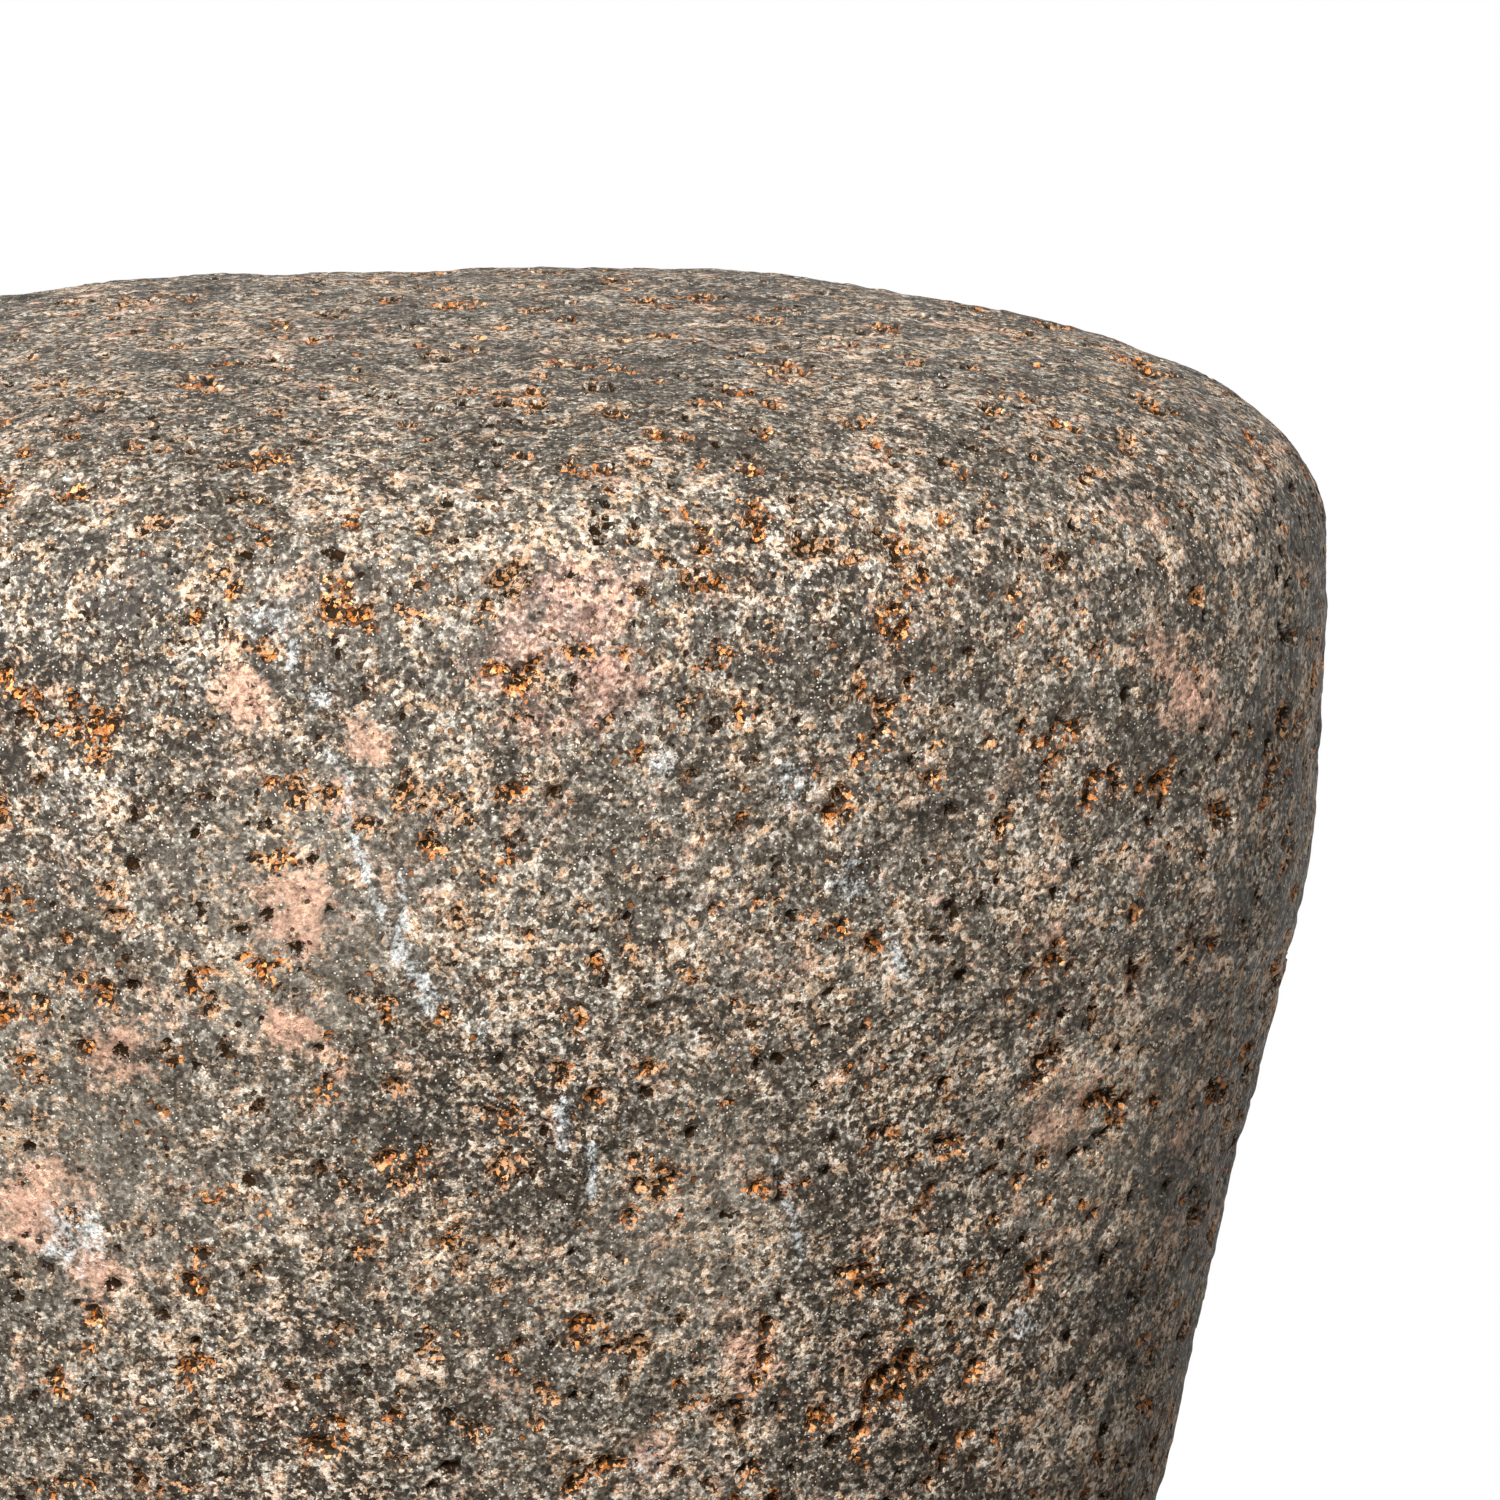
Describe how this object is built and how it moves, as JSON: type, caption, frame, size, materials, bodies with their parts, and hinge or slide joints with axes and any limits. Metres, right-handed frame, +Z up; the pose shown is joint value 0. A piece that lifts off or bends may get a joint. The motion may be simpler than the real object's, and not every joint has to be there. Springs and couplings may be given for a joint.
{
  "type": "molcajete",
  "caption": "Volcanic stone mortar on three carved feet, with a loose round-headed stone pestle that stands in its bowl and lifts out, for grinding salsa and spices.",
  "frame": {"origin": "on the ground, under the middle of the bowl", "axes": "+Z up; -Y front, towards which the pestle leans; +X to the right seen from the front; one foot at the back on +Y"},
  "size_m": [0.196, 0.196, 0.1785],
  "materials": {
    "mortar_stone": "rough vesicular basalt, pecked and ground by hand, matte",
    "pestle_stone": "vesicular basalt worn smooth between fine pits, with rust specks and pale food stains, matte"
  },
  "bodies": {
    "mortar": {"mortar": "mortar_stone"},
    "tejolote": {"tejolote": "pestle_stone"}
  },
  "joints": [
    {"name": "tejolote_lift", "type": "slide", "parent": "mortar", "child": "tejolote", "axis": [0, 0, 1], "range_m": [0, 0.09]}
  ]
}
